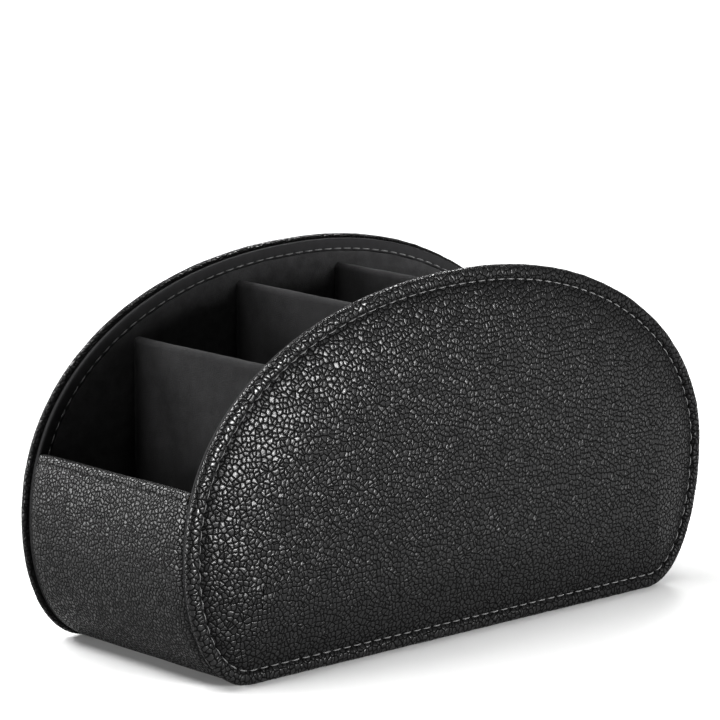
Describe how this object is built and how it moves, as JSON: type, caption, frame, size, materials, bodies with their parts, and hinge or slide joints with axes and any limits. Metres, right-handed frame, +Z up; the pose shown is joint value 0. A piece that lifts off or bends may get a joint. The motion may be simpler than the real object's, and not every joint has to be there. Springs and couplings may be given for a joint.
{
  "type": "remote control holder",
  "caption": "Desk caddy with two padded arched side panels, a low front wall, a higher back wall and felt dividers that stand remote controls upright in pockets.",
  "frame": {"origin": "centre of the footprint on the surface that the holder stands on", "axes": "+Z up, +X from the low front wall to the high back wall, +Y from the right side panel to the left one"},
  "size_m": [0.24, 0.0954, 0.127],
  "materials": {
    "side_leather": "pebbled black faux leather, glossy",
    "band_leather": "fine pebbled black faux leather, satin",
    "edging": "smooth black faux leather, satin",
    "felt": "black felt with a short soft nap",
    "base_pad": "plain black non-slip cloth",
    "board": "plain fibreboard",
    "foam": "open foam sheet",
    "thread": "grey sewing thread"
  },
  "bodies": {
    "root": {"right_side_cover": "side_leather", "right_side_foam": "foam", "right_side_board": "board", "right_side_edging": "edging", "right_side_lining": "felt", "left_side_cover": "side_leather", "left_side_foam": "foam", "left_side_board": "board", "left_side_edging": "edging", "left_side_lining": "felt", "band_cover": "band_leather", "front_board": "board", "base_board": "board", "back_board": "board", "front_lining": "felt", "floor_lining": "felt", "back_lining": "felt", "base_pad": "base_pad", "divider_1_board": "board", "divider_1_felt": "felt", "divider_2_board": "board", "divider_2_felt": "felt", "divider_3_board": "board", "divider_3_felt": "felt", "divider_4_board": "board", "divider_4_felt": "felt"}
  },
  "joints": []
}
